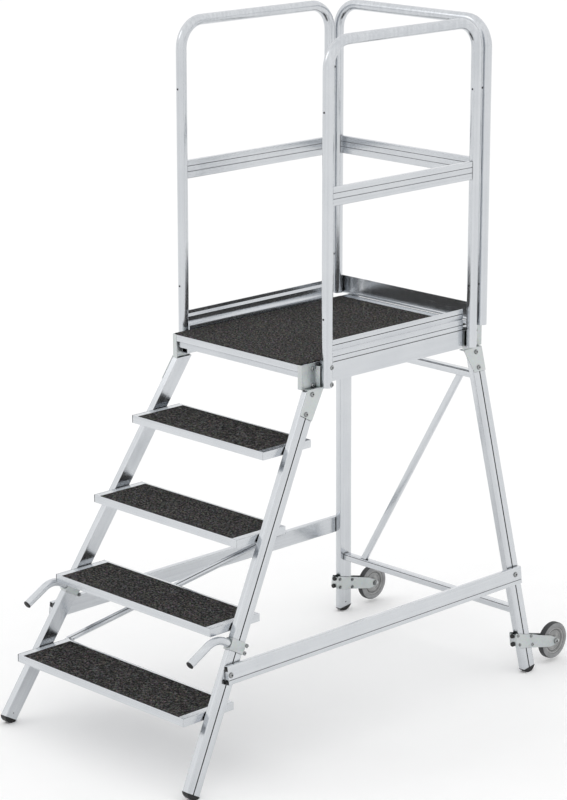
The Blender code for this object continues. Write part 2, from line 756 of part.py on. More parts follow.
def make_corner_plate(name, outer_line, pad_side, tongue, ledge_y):
    """A pressed plate that ties beam, post and rail together: bent wrap, ledge and leaning tongue."""
    low, high = 1.1205, DECK_TOP
    outline = strip_outline(outer_line, PLATE)
    rings = [[Vector((p.x, p.y, z)) for p in outline] for z in (low, high)]
    plate = loft(name, rings, "zinc")
    pad_low, pad_high = pad_side
    combine(plate, block("pad_cut", (0.25, pad_low, 1.187), (0.32, pad_high, 1.25), "zinc"), "DIFFERENCE")
    ledge_bottom, ledge_top = 1.1185, 1.1215
    outside = RAIL_WIDTH / 2 + GAP + PLATE
    x_out = side_x(ledge_bottom) + outside / FLARE_NORMAL.x - 0.0006
    ledge_low, ledge_high = (0.2884, ledge_y[0], ledge_bottom), (x_out, ledge_y[1], ledge_top)
    combine(plate, block("ledge", ledge_low, ledge_high, "zinc"), "UNION")
    combine(plate, flare_plate("tongue", tongue, "zinc"), "UNION")
    return plate


def make_corner_plates():
    side = BEAM_OUTER_X + GAP + PLATE
    top = 1.1190
    nose = PLATFORM_NOSE_Y
    front_line = [(0.2740, nose), (side, nose), (side, 0.0437), (FASCIA_X, 0.0500), (FASCIA_X, 0.0828)]
    half = RAIL_DEPTH / 2 * math.hypot(1, STILE_RUN) - 0.001
    end_z = 1.036
    slant = Vector((1, -STILE_RUN)).normalized() * (RAIL_DEPTH / 2 - 0.001)
    front_tongue = [
        (stile_y(top) - half, top),
        (stile_y(end_z) - slant.x, end_z - slant.y),
        (stile_y(end_z) + slant.x, end_z + slant.y),
        (stile_y(top) + half + 0.009, top),
    ]
    ledge = (stile_y(top) - half, stile_y(top) + half)
    plate = make_corner_plate("corner_plate_FR", front_line, (0.0437, 0.2), front_tongue, ledge)
    mirrored(plate, "corner_plate_FL")
    back = PLATFORM_BACK_Y + GAP + PLATE
    rear_line = [(FASCIA_X, 0.7060), (FASCIA_X, 0.7425), (side, 0.7515), (side, back), (0.2624, back)]
    end_z = 1.040
    half = RAIL_DEPTH / 2 * math.hypot(1, LEG_RUN) - 0.001
    rear_tongue = [
        (0.7090, top),
        (0.7345, 1.070),
        (leg_y(end_z) - half, end_z),
        (leg_y(end_z) + half, end_z),
        (leg_y(top) + half, top),
    ]
    ledge = (0.7075, leg_y(top) + half)
    plate = make_corner_plate("corner_plate_RR", rear_line, (0.7, 0.7515), rear_tongue, ledge)
    mirrored(plate, "corner_plate_RL")


# ---------------------------------------------------------------- braces


def make_side_brace():
    """The flat rail outside each pair of stile and leg, with a groove near its lower edge."""
    centre_z = 0.3385
    start_y, end_y = -0.447, 0.892
    along = Vector((0, -1, 0))
    origin = flare_point(0, centre_z, RAIL_WIDTH / 2 + GAP + BRACE_THICKNESS / 2)
    groove_v = -BRACE_HEIGHT / 2 + 0.0145
    grooves = [(groove_v, 0.0022, 0.0020)]
    outline = rail_outline(BRACE_THICKNESS, BRACE_HEIGHT, 0.0025, grooves)
    ends = ((Vector((0, end_y, 0)), along), (Vector((0, start_y, 0)), along))
    brace = bar("side_brace_R", outline, origin, along, FLARE_NORMAL, ends, "aluminium", 0.0016)
    mirrored(brace, "side_brace_L")
    plug_bottom, plug_top = 0.0130, BRACE_HEIGHT / 2 - 0.0045
    half_u = BRACE_THICKNESS / 2 - 0.0022
    plug_outline = [(half_u, plug_bottom), (half_u, plug_top), (-half_u, plug_top), (-half_u, plug_bottom)]
    ends = ((Vector((0, start_y + 0.016, 0)), along), (Vector((0, start_y - 0.0015, 0)), along))
    plug = bar("brace_plug_R", plug_outline, origin, along, FLARE_NORMAL, ends, "black_rubber")
    mirrored(plug, "brace_plug_L")


def make_rear_frame():
    """Two box cross bars between the legs and the diagonal that joins them."""
    outline = rail_outline(BOX_BAR, BOX_BAR, 0.0026, [(-0.0080, 0.0022, 0.0022)])
    right = Vector((1, 0, 0))
    left_normal = Vector((-1, 0, FLARE)).normalized()
    levels = {"rear_cross_bar_lower": (0.890, 0.2150), "rear_cross_bar_upper": (0.7845, 1.0253)}
    reach = RAIL_WIDTH / 2 + GAP
    for name, (y, z) in levels.items():
        middle = Vector((0, y, z))
        right_end = (Vector((side_x(z), y, z)) - FLARE_NORMAL * reach, FLARE_NORMAL)
        left_end = (Vector((-side_x(z), y, z)) - left_normal * reach, left_normal)
        bar(name, outline, middle, right, Vector((0, -1, 0)), (left_end, right_end), "aluminium", 0.002)
    (low_y, low_z), (high_y, high_z) = levels.values()
    clear = BOX_BAR / 2 + GAP
    low = Vector((-0.300, low_y - 0.003, low_z + clear))
    high = Vector((0.225, high_y, high_z - clear))
    along = (high - low).normalized()
    across = Vector((0, 1, 0))
    across = (across - along * across.dot(along)).normalized()
    outline = rail_outline(0.012, 0.022, 0.0020)
    ends = (level(low.z), level(high.z))
    bar("rear_diagonal_brace", outline, low, along, across, ends, "aluminium", 0.0015)


# ---------------------------------------------------------------- wheels

WHEEL_WIDTH = 0.025
BORE_SEGMENTS = 24
LEG_SIDE = RAIL_WIDTH / 2 + GAP
FORK_SIDE = WHEEL_WIDTH / 2 + 0.0010
AXLE_RADIUS = 0.006


def bracket_lean(y):
    """Share of the leg's lean that the bracket arm still has: all of it at the leg, none at the wheel."""
    start, end = 0.940, 0.990
    share = min(max((y - start) / (end - start), 0), 1)
    return 1 - share * share * (3 - 2 * share)


def bracket_point(y, z, side, out):
    """A point on the arm on one side of the leg, out from the arm's inner face."""
    lean = bracket_lean(y)
    offset = LEG_SIDE * lean + FORK_SIDE * (1 - lean) + out
    x = side_x(AXLE_Z) + side * offset - FLARE * lean * (z - AXLE_Z)
    return Vector((x, y, z))


def arm_heights():
    """Stations (y, lower edge, upper edge) of a bracket arm, tapering to a blunt nose past the axle."""
    front, taper = 0.859, 1.0235
    stations = []
    for y in (front, 0.900, 0.940, 0.957, 0.973, 0.990, taper):
        share = (y - front) / (taper - front)
        stations.append((y, 0.095 - 0.0365 * share, 0.1436 - 0.0450 * share))
    stations += [(1.037, 0.0585, 0.0920), (AXLE_Y, 0.0605, 0.0840)]
    return stations + [(1.066, 0.0645, 0.0770), (1.0715, 0.0675, 0.0725)]


def make_arm(side):
    rings = []
    for y, low, high in arm_heights():
        corners = ((low, 0), (low, PLATE), (high, PLATE), (high, 0))
        rings.append([bracket_point(y, z, side, out) for z, out in corners])
    return loft("bracket_arm", rings, "zinc")


def make_wheel_bracket():
    """A fork clamped round the foot of the leg; the axle bolt crosses its two arms."""
    bracket = make_arm(1)
    bracket.name = "wheel_bracket_R"
    combine(bracket, make_arm(-1), "UNION")
    rings = []
    for y in (0.8562, 0.8605):
        corners = ((0.100, -1), (0.100, 1), (0.139, 1), (0.139, -1))
        rings.append([bracket_point(y, z, side, PLATE - 0.0004) for z, side in corners])
    combine(bracket, loft("bracket_web", rings, "zinc"), "UNION")
    hole = AXLE_RADIUS + 0.0002
    rings = []
    for x in (-0.03, 0.03):
        circle = arc(AXLE_Y, AXLE_Z, hole, 0, 360 - 360 / BORE_SEGMENTS, BORE_SEGMENTS - 1)
        rings.append([Vector((side_x(AXLE_Z) + x, y, z)) for y, z in circle])
    combine(bracket, loft("axle_hole", rings, "zinc"), "DIFFERENCE")
    finish(bracket, "zinc")
    mirrored(bracket, "wheel_bracket_L")


def place_on_axle(obj, name):
    obj.location = (side_x(AXLE_Z), AXLE_Y, AXLE_Z)
    mirrored(obj, name)


def make_wheel():
    """Axle bolt, bush, hub and tyre, all turned about the same line."""
    reach = FORK_SIDE + PLATE + GAP
    head = 0.0070
    right_half = [(reach, AXLE_RADIUS), (reach, 0.0098)]
    right_half += [(reach + head - 0.001, 0.0098), (reach + head, 0.0085)]
    axle = [(-x, radius) for x, radius in reversed(right_half)] + right_half
    rings = []
    for x, radius in axle:
        circle = arc(0, 0, radius, 0, 360 - 360 / BORE_SEGMENTS, BORE_SEGMENTS - 1)
        rings.append([Vector((x, y, z)) for y, z in circle])
    place_on_axle(loft("wheel_axle_R", rings, "bright_steel", smooth=True), "wheel_axle_L")
    boss = WHEEL_WIDTH / 2
    bore = AXLE_RADIUS + 0.0002
    bush_radius = 0.0085
    bush = [(-boss, bore), (boss, bore), (boss, bush_radius), (-boss, bush_radius)]
    place_on_axle(turned("wheel_bush_R", bush, BORE_SEGMENTS, "bearing_plastic"), "wheel_bush_L")
    place_on_axle(make_hub(bush_radius + GAP, boss), "wheel_hub_L")
    place_on_axle(make_tyre(), "wheel_tyre_L")


def make_hub(bore, boss):
    """Dished plastic hub: boss, thin web with a raised ring, and the seat of the tyre."""
    face, web, ring, seat = boss - 0.0004, 0.0045, 0.0060, 0.0100
    right = [(face, bore), (face, 0.0150), (web, 0.0170), (web, 0.0300), (ring, 0.0310), (ring, 0.0345)]
    right += [(web, 0.0355), (web, 0.0390), (seat, 0.0405), (seat, 0.0455)]
    profile = right + [(-x, r) for x, r in reversed(right)]
    return turned("wheel_hub_R", profile, 32, "grey_plastic")


def make_tyre():
    half = WHEEL_WIDTH / 2
    inner, outer, shoulder = 0.0458, WHEEL_RADIUS, 0.0065
    profile = [(-half + 0.001, inner), (half - 0.001, inner), (half, inner + 0.002)]
    profile += arc(half - shoulder, outer - shoulder, shoulder, 0, 90, 4)
    profile += arc(-half + shoulder, outer - shoulder, shoulder, 90, 180, 4)
    profile += [(-half, inner + 0.002)]
    return turned("wheel_tyre_R", profile, 40, "grey_rubber")


# ---------------------------------------------------------------- assembly


def centre_over_floor():
    """Slides the whole ladder along Y so that its footprint is centred on the origin."""
    bpy.context.view_layer.update()
    foot = bpy.data.objects["front_foot_R"]
    tyre = bpy.data.objects["wheel_tyre_R"]
    front = min((foot.matrix_world @ v.co).y for v in foot.data.vertices)
    back = max((tyre.matrix_world @ v.co).y for v in tyre.data.vertices)
    for obj in bpy.data.objects:
        obj.location.y -= (front + back) / 2


def main():
    clear_scene()
    make_rails_and_feet()
    for number in range(1, STEP_COUNT + 1):
        make_step(number)
    make_front_brace()
    make_handle()
    make_side_beam()
    make_cross_beams()
    make_deck()
    make_platform_mat()
    make_toe_boards()
    make_hoops()
    make_knee_rails()
    make_corner_plates()
    make_side_brace()
    make_rear_frame()
    make_wheel_bracket()
    make_wheel()
    centre_over_floor()


main()
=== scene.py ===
"""Looks of the rolling warehouse ladder: finishes, round pieces, fasteners, floor, light and camera."""

import math

import bmesh
import bpy
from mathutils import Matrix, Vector


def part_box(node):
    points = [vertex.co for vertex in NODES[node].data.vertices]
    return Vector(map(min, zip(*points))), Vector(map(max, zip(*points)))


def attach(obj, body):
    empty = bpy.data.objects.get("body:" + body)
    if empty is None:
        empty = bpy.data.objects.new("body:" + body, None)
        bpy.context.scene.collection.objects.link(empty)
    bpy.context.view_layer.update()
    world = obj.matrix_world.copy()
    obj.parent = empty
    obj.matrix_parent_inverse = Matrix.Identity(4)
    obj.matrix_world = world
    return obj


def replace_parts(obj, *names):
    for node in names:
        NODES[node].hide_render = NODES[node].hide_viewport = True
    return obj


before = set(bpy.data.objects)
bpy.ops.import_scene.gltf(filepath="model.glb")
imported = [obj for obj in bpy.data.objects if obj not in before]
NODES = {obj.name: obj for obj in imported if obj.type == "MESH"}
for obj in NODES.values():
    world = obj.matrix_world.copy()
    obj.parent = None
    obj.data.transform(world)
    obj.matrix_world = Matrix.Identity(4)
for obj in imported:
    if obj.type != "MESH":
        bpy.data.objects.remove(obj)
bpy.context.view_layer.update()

UP = Vector((0, 0, 1))
RIGHT = Vector((1, 0, 0))
BACK = Vector((0, 1, 0))
SIDES = (("R", 1), ("L", -1))

# ---------------------------------------------------------------- places read from the frame


def middle_of(node):
    low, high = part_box(node)
    return (low + high) / 2


def span_of(node, axis):
    low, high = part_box(node)
    return low[axis], high[axis]


AXLE = middle_of("wheel_axle_R")
# Middle plane of the leaning rails: x = RAIL_X0 - FLARE * z
FLARE = 0.1235
RAIL_X0 = AXLE.x + FLARE * AXLE.z
FLARE_NORMAL = Vector((1, 0, FLARE)).normalized()
RAIL_HALF = 0.0115
RAIL_DEPTH = 0.054
PLATE = 0.003
GAP = 0.0003
PLATE_OUTSIDE = RAIL_HALF + GAP + PLATE
STEP_RISE = 0.24
STEPS = range(1, 5)
HANDLE_Z = 0.4120
STILE_RUN = 0.5824
# The platform's nose plane, from which the fastener places along Y are counted
NOSE_Y = span_of("front_beam", 1)[0] + 0.0155
STILE_Y0 = NOSE_Y - 0.6247
LEG_Y0 = NOSE_Y + 0.918
LEG_RUN = -0.1335
ALONG_STILE = Vector((-FLARE, STILE_RUN, 1)).normalized()
ALONG_LEG = Vector((-FLARE, LEG_RUN, 1)).normalized()

HOOP_RADIUS = 0.017
HOOP_WALL = 0.002
HOOP_BEND = 0.085
HOOP_SIDE_BOTTOMS = (1.122, 1.134)
HANDLE_RADIUS = 0.0125
HANDLE_WALL = 0.002
HANDLE_BEND = 0.070
HANDLE_TAIL = 0.080

TYRE_HALF = 0.0125
TYRE_RADIUS = 0.0625
TYRE_INSIDE = 0.0457
TYRE_SHOULDER = 0.0065
# One face of the hub from bore to rim, as (half width, radius)
HUB_BOSS = ((0.0121, 0.0088), (0.0121, 0.0145), (0.0116, 0.0152), (0.0050, 0.0168), (0.0045, 0.0185))
HUB_RIB = ((0.0045, 0.0300), (0.0050, 0.0308), (0.0062, 0.0314), (0.0062, 0.0345), (0.0050, 0.0352))
HUB_STEP = ((0.0045, 0.0362), (0.0045, 0.0385), (0.0055, 0.0396), (0.0100, 0.0405), (0.0106, 0.0412))
HUB_RIM = ((0.0106, 0.0452), (0.0100, 0.0456))
AXLE_HALF = 0.0168
AXLE_RADIUS = 0.006

# Bolt places as (back from the nose plane, height)
PLATE_BOLTS = ((0.0315, 1.1803), (0.0325, 1.1278), (0.7820, 1.1732), (0.7830, 1.1202))
TONGUE_BOLTS = ((0.0130, 1.1039), (-0.0208, 1.0478), (0.7654, 1.1050), (0.7727, 1.0534))
POST_BOLTS = ((0.0665, 1.1860), (0.0665, 1.1320))
LEG_FRONT_BOLTS = ((0.8685, 0.1325), (0.8735, 0.1010))
LEG_BACK_BOLTS = ((0.9330, 0.1165), (0.9370, 0.0865))
BRACE_BOLTS = ((-0.436, 0.3385), (0.862, 0.3450))
CORNER_PLATE_X = 0.2908
POST_RIVET_HEIGHTS = (1.337, 1.970)
STOP_HEIGHTS = (0.1335, 0.1055)
FOOT_RIVET_Z = 0.034

# The side brace's section, counted from its middle: out from the face, and up it
BRACE_Z = 0.3385
BRACE_HALF_DEPTH = 0.008
BRACE_START = -0.447
BRACE_END = 0.892


def on_flare(y, z, out):
    """A point out from the leaning middle plane of the right-hand rails."""
    return Vector((RAIL_X0 - FLARE * z, y, z)) + FLARE_NORMAL * out


def mirror(point, side):
    return Vector((point.x * side, point.y, point.z))


# ---------------------------------------------------------------- node material kit


class Kit:
    """A small builder round one material's node tree."""

    def __init__(self, name):
        self.material = bpy.data.materials.new(name)
        self.material.use_nodes = True
        self.tree = self.material.node_tree
        self.shader = self.tree.nodes["Principled BSDF"]

    def node(self, kind, **values):
        made = self.tree.nodes.new(kind)
        for key, value in values.items():
            setattr(made, key, value)
        return made

    def link(self, output, target):
        self.tree.links.new(output, target)

    def position(self):
        return self.node("ShaderNodeTexCoord").outputs["Object"]

    def along(self, direction, fine, coarse):
        """Coordinates squeezed along a direction, so that noise on them runs in long streaks."""
        direction = Vector(direction).normalized()
        helper = UP if abs(direction.z) < 0.9 else RIGHT
        across = direction.cross(helper).normalized()
        other = direction.cross(across)
        combine = self.node("ShaderNodeCombineXYZ")
        place = self.position()
        for socket, axis, scale in (("X", across, fine), ("Y", other, fine), ("Z", direction, coarse)):
            dot = self.node("ShaderNodeVectorMath", operation="DOT_PRODUCT")
            self.link(place, dot.inputs[0])
            dot.inputs[1].default_value = axis * scale
            self.link(dot.outputs["Value"], combine.inputs[socket])
        return combine.outputs["Vector"]

    def noise(self, vector, scale, detail=2.0, roughness=0.5):
        made = self.node("ShaderNodeTexNoise")
        made.inputs["Scale"].default_value = scale
        made.inputs["Detail"].default_value = detail
        made.inputs["Roughness"].default_value = roughness
        self.link(vector, made.inputs["Vector"])
        return made.outputs["Fac"]

    def voronoi(self, vector, scale):
        made = self.node("ShaderNodeTexVoronoi", feature="F1")
        made.inputs["Scale"].default_value = scale
        self.link(vector, made.inputs["Vector"])
        return made

    def ramp(self, factor, *stops):
        """Colour stops as (place, colour); a grey level may be one number."""
        made = self.node("ShaderNodeValToRGB")
        elements = made.color_ramp.elements
        while len(elements) < len(stops):
            elements.new(0.5)
        for element, (place, colour) in zip(elements, stops):
            element.position = place
            tone = colour if isinstance(colour, tuple) else (colour, colour, colour)
            element.color = (*tone, 1)
        self.link(factor, made.inputs["Fac"])
        return made.outputs["Color"]

    def mix(self, factor, first, second, blend="MIX"):
        made = self.node("ShaderNodeMix", data_type="RGBA", blend_type=blend)
        for value, number in ((factor, 0), (first, 6), (second, 7)):
            socket = made.inputs[number]
            if isinstance(value, bpy.types.NodeSocket):
                self.link(value, socket)
            elif isinstance(value, tuple):
                socket.default_value = (*value, 1)
            else:
                socket.default_value = value
        return made.outputs[2]

    def math(self, operation, first, second):
        made = self.node("ShaderNodeMath", operation=operation)
        for value, socket in ((first, made.inputs[0]), (second, made.inputs[1])):
            if isinstance(value, bpy.types.NodeSocket):
                self.link(value, socket)
            else:
                socket.default_value = value
        return made.outputs[0]

    def edges(self):
        """Bright on convex edges, from the Geometry node's pointiness."""
        geometry = self.node("ShaderNodeNewGeometry")
        return self.ramp(geometry.outputs["Pointiness"], (0.50, 0.0), (0.56, 1.0))

    def painted_crevice_shade(self, reach=0.007, darkest=0.10):
        """Painted shade: dark in grooves and tight gaps, from an ambient-occlusion node, and white on
        open faces.
        """
        made = self.node("ShaderNodeAmbientOcclusion", samples=8)
        made.inputs["Distance"].default_value = reach
        return self.ramp(made.outputs["AO"], (0.35, darkest), (0.68, 0.72), (0.90, 1.0))

    def colour(self, value, painted_shade=True):
        # Multiplies the painted crevice shade into the colour unless it is switched off.
        if painted_shade:
            value = self.mix(1.0, value, self.painted_crevice_shade(), "MULTIPLY")
        self.link(value, self.shader.inputs["Base Color"])

    def rough(self, value):
        self.link(value, self.shader.inputs["Roughness"])

    def bump(self, height, strength, distance):
        made = self.node("ShaderNodeBump")
        made.inputs["Strength"].default_value = strength
        made.inputs["Distance"].default_value = distance
        self.link(height, made.inputs["Height"])
        self.link(made.outputs["Normal"], self.shader.inputs["Normal"])

    def set(self, **values):
        for key, value in values.items():
            self.shader.inputs[key.replace("_", " ")].default_value = value
        return self.material


# ---------------------------------------------------------------- finishes


def aluminium(name, direction):
    """Drawn aluminium: die lines along the extrusion, soft clouding, handling marks and dulled edges."""
    kit = Kit(name)
    place = kit.position()
    lines = kit.noise(kit.along(direction, 900, 5), 1.0, 3.0, 0.6)
    bands = kit.noise(kit.along(direction, 120, 0.8), 1.0, 1.0)
    cloud = kit.noise(place, 9.0, 3.0)
    smudge = kit.noise(place, 38.0, 4.0, 0.65)
    base = kit.ramp(bands, (0.30, (0.500, 0.522, 0.552)), (0.70, (0.585, 0.606, 0.634)))
    base = kit.mix(0.10, base, kit.ramp(lines, (0.25, 0.42), (0.75, 0.95)), "OVERLAY")
    base = kit.mix(0.10, base, kit.ramp(cloud, (0.35, 0.40), (0.65, 0.85)), "OVERLAY")
    base = kit.mix(kit.ramp(kit.edges(), (0.0, 0.0), (1.0, 0.35)), base, (0.70, 0.72, 0.74))
    kit.colour(base)
    rough = kit.ramp(smudge, (0.35, 0.15), (0.70, 0.27))
    kit.rough(kit.mix(0.35, rough, kit.ramp(lines, (0.30, 0.10), (0.70, 0.36))))
    kit.bump(lines, 0.10, 0.0002)
    return kit.set(Metallic=1.0, Anisotropic=0.35)


def zinc(name):
    """Zinc-plated pressed steel: fine crystal mottling, a greenish cast and rubbed edges."""
    kit = Kit(name)
    place = kit.position()
    cells = kit.voronoi(place, 260.0)
    grain = kit.noise(place, 700.0, 3.0, 0.6)
    cloud = kit.noise(place, 22.0, 4.0, 0.6)
    base = kit.ramp(cloud, (0.30, (0.40, 0.435, 0.440)), (0.70, (0.50, 0.535, 0.535)))
    base = kit.mix(0.14, base, cells.outputs["Color"], "SOFT_LIGHT")
    base = kit.mix(0.12, base, kit.ramp(grain, (0.35, 0.30), (0.65, 0.75)), "OVERLAY")
    base = kit.mix(kit.ramp(kit.edges(), (0.0, 0.0), (1.0, 0.45)), base, (0.70, 0.72, 0.72))
    kit.colour(base)
    kit.rough(kit.ramp(kit.mix(0.5, cloud, grain), (0.30, 0.30), (0.70, 0.50)))
    kit.bump(kit.math("ADD", kit.math("MULTIPLY", cells.outputs["Distance"], 0.4), grain), 0.08, 0.0002)
    return kit.set(Metallic=1.0)


def grit_mat(name):
    """Charcoal safety mat: bonded mineral grit with lighter and tinted grains on a black binder."""
    kit = Kit(name)
    place = kit.position()
    grains = kit.voronoi(place, 300.0)
    speckle = kit.noise(place, 165.0, 3.0, 0.80)
    clump = kit.noise(place, 60.0, 3.0, 0.6)
    worn = kit.noise(place, 6.0, 3.0, 0.5)
    stone = kit.mix(0.40, (0.150, 0.143, 0.138), grains.outputs["Color"], "SOFT_LIGHT")
    base = kit.mix(kit.ramp(speckle, (0.47, 0.0), (0.60, 1.0)), (0.0050, 0.0050, 0.0052), stone)
    base = kit.mix(1.0, base, kit.ramp(clump, (0.35, 0.50), (0.65, 1.0)), "MULTIPLY")
    base = kit.mix(1.0, base, kit.ramp(worn, (0.30, 0.85), (0.70, 1.0)), "MULTIPLY")
    kit.colour(base, painted_shade=False)
    kit.rough(kit.ramp(speckle, (0.40, 0.98), (0.70, 0.70)))
    height = kit.math("SUBTRACT", speckle, kit.math("MULTIPLY", grains.outputs["Distance"], 0.4))
    kit.bump(height, 0.9, 0.0014)
    kit.shader.inputs["Specular IOR Level"].default_value = 0.15
    return kit.material


def rubber(name, dark, light, roughness, scuff):
    """Moulded rubber or plastic: fine skin texture, chalky scuffs on edges and a little dust."""
    kit = Kit(name)
    place = kit.position()
    skin = kit.noise(place, 900.0, 3.0, 0.6)
    cloud = kit.noise(place, 45.0, 4.0, 0.6)
    base = kit.ramp(cloud, (0.35, dark), (0.70, light))
    base = kit.mix(0.15, base, kit.ramp(skin, (0.35, 0.30), (0.65, 0.75)), "OVERLAY")
    base = kit.mix(kit.ramp(kit.edges(), (0.0, 0.0), (1.0, scuff)), base, (0.34, 0.34, 0.34))
    kit.colour(base)
    kit.rough(kit.ramp(cloud, (0.30, roughness - 0.08), (0.70, roughness + 0.10)))
    kit.bump(skin, 0.20, 0.0003)
    kit.shader.inputs["Specular IOR Level"].default_value = 0.25
    return kit.set(Metallic=0.0)


def bolt_steel(name):
    """Zinc-plated fastener steel, dulled by handling, with a fine turned grain and rubbed edges."""
    kit = Kit(name)
    place = kit.position()
    cloud = kit.noise(place, 160.0, 3.0)
    fine = kit.noise(place, 1400.0, 2.0)
    base = kit.ramp(cloud, (0.30, (0.15, 0.16, 0.165)), (0.70, (0.30, 0.31, 0.315)))
    base = kit.mix(0.15, base, kit.ramp(fine, (0.35, 0.30), (0.65, 0.75)), "OVERLAY")
    base = kit.mix(kit.ramp(kit.edges(), (0.0, 0.0), (1.0, 0.4)), base, (0.50, 0.51, 0.51))
    kit.colour(base)
    kit.rough(kit.ramp(cloud, (0.30, 0.24), (0.70, 0.42)))
    kit.bump(fine, 0.10, 0.0002)
    return kit.set(Metallic=1.0)


BRUSHED = {
    "along_x": aluminium("aluminium_along_x", RIGHT),
    "along_y": aluminium("aluminium_along_y", BACK),
    "along_z": aluminium("aluminium_along_z", UP),
    "stile_R": aluminium("aluminium_stile_R", ALONG_STILE),
    "stile_L": aluminium("aluminium_stile_L", mirror(ALONG_STILE, -1)),
    "leg_R": aluminium("aluminium_leg_R", ALONG_LEG),
    "leg_L": aluminium("aluminium_leg_L", mirror(ALONG_LEG, -1)),
}
ZINC = zinc("zinc_plate")
GRIT = grit_mat("grit_mat")
BLACK_RUBBER = rubber("black_rubber", (0.004, 0.004, 0.004), (0.009, 0.009, 0.010), 0.42, 0.05)
GREY_TYRE = rubber("grey_tyre", (0.036, 0.037, 0.039), (0.060, 0.062, 0.065), 0.62, 0.10)
TYRE_WALL = rubber("grey_tyre_side", (0.215, 0.218, 0.222), (0.300, 0.303, 0.307), 0.60, 0.15)
GREY_PLASTIC = rubber("grey_plastic", (0.260, 0.262, 0.262), (0.400, 0.402, 0.402), 0.42, 0.20)
BUSH_PLASTIC = rubber("bush_plastic", (0.60, 0.59, 0.55), (0.72, 0.71, 0.67), 0.35, 0.10)
BOLT_STEEL = bolt_steel("bolt_steel")


# ---------------------------------------------------------------- CAD pieces


def dress(node, material, edge=0.0004):
    """Gives a CAD node its finish, welds its facets and breaks its sharp edges slightly."""
    obj = NODES[node]
    obj.data.materials.clear()
    obj.data.materials.append(material)
    custom = obj.data.attributes.get("custom_normal")
    if custom:
        obj.data.attributes.remove(custom)
    obj.data.shade_smooth()
    weld = obj.modifiers.new("weld", "WELD")
    weld.merge_threshold = 0.00001
    bevel = obj.modifiers.new("edge", "BEVEL")
    bevel.width = edge
    bevel.segments = 2
    bevel.limit_method = "ANGLE"
    bevel.angle_limit = math.radians(50)
    normal = obj.modifiers.new("normal", "WEIGHTED_NORMAL")
    normal.weight = 100
    normal.keep_sharp = True
    return obj


def dress_all():
    for side in "LR":
        dress(f"front_stile_{side}", BRUSHED[f"stile_{side}"])
        dress(f"rear_leg_{side}", BRUSHED[f"leg_{side}"])
        for node in ("side_beam", "toe_board", "knee_rail", "side_brace"):
            dress(f"{node}_{side}", BRUSHED["along_y"])
        for node in ("corner_plate_F", "corner_plate_R", "handle_bracket_", "wheel_bracket_"):
            dress(f"{node}{side}", ZINC, 0.0006)
        for node in ("front_foot", "rear_foot", "brace_plug", "handle_plug"):
            dress(f"{node}_{side}", BLACK_RUBBER, 0.0007)
        dress(f"wheel_bush_{side}", BUSH_PLASTIC)
    for number in STEPS:
        dress(f"step_tray_{number}", BRUSHED["along_x"])
        dress(f"step_mat_{number}", GRIT, 0.0003)
    across = ("front_beam", "rear_beam", "toe_board_back", "knee_rail_back")
    for node in (*across, "rear_cross_bar_lower", "rear_cross_bar_upper"):
        dress(node, BRUSHED["along_x"])
    dress("platform_deck", BRUSHED["along_y"])
    dress("platform_mat", GRIT, 0.0003)
    low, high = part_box("front_diagonal_brace")
    dress("front_diagonal_brace", aluminium("aluminium_front_brace", high - low))
    low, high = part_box("rear_diagonal_brace")
    slope = high - low
    dress("rear_diagonal_brace", aluminium("aluminium_rear_brace", (slope.x, -slope.y, slope.z)))


# ---------------------------------------------------------------- mesh helpers


def piece(name, bm, material, body, smooth=40):
    """Links a finished bmesh as a piece that rides on a body."""
    bmesh.ops.recalc_face_normals(bm, faces=bm.faces)
    mesh = bpy.data.meshes.new(name)
    bm.to_mesh(mesh)
    bm.free()
    mesh.shade_smooth()
    mesh.set_sharp_from_angle(angle=math.radians(smooth))
    mesh.materials.append(material)
    obj = bpy.data.objects.new(name, mesh)
    bpy.context.scene.collection.objects.link(obj)
    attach(obj, body)
    return obj


def add_ring(bm, points):
    return [bm.verts.new(point) for point in points]


def skin(bm, rings, closed=False):
    """Quads between neighbouring rings."""
    pairs = list(zip(rings, rings[1:]))
    if closed:
        pairs.append((rings[-1], rings[0]))
    for first, second in pairs:
        count = len(first)
        for i in range(count):
            j = (i + 1) % count
            bm.faces.new((first[i], first[j], second[j], second[i]))


def cross_axes(axis):
    """Two directions square to the axis and to each other."""
    helper = UP if abs(axis.z) < 0.9 else RIGHT
    first = axis.cross(helper).normalized()
    return first, axis.cross(first).normalized()


def hex_radius(angle, radius):
    """Distance to the edge of a hexagon whose corners are at the radius."""
    sector = math.radians(60)
    return radius * math.cos(sector / 2) / math.cos((angle % sector) - sector / 2)


def add_tube(bm, frames, radius, wall, count, side=1):
    """An open-ended tube along frames of (centre, across, over), mirrored to a side."""
    skins = []
    for size in (radius, radius - wall):
        rings = []
        for centre, across, over in frames:
            points = []
            for i in range(count):
                angle = 2 * math.pi * i / count
                offset = across * (size * math.cos(angle)) + over * (size * math.sin(angle))
                points.append(mirror(centre + offset, side))
            rings.append(add_ring(bm, points))
        skin(bm, rings)
        skins.append(rings)
    skin(bm, [skins[0][0], skins[1][0]])
    skin(bm, [skins[0][-1], skins[1][-1]])


def add_lathe_ring(bm, centre, half_profile, count):
    """A ring turned about the axle line, from one half of its profile as (half width, radius)."""
    profile = half_profile + [(-x, radius) for x, radius in reversed(half_profile)]
    rings = []
    for i in range(count):
        angle = 2 * math.pi * i / count
        spoke = Vector((0, math.cos(angle), math.sin(angle)))
        rings.append(add_ring(bm, [centre + RIGHT * x + spoke * radius for x, radius in profile]))
    skin(bm, rings, closed=True)


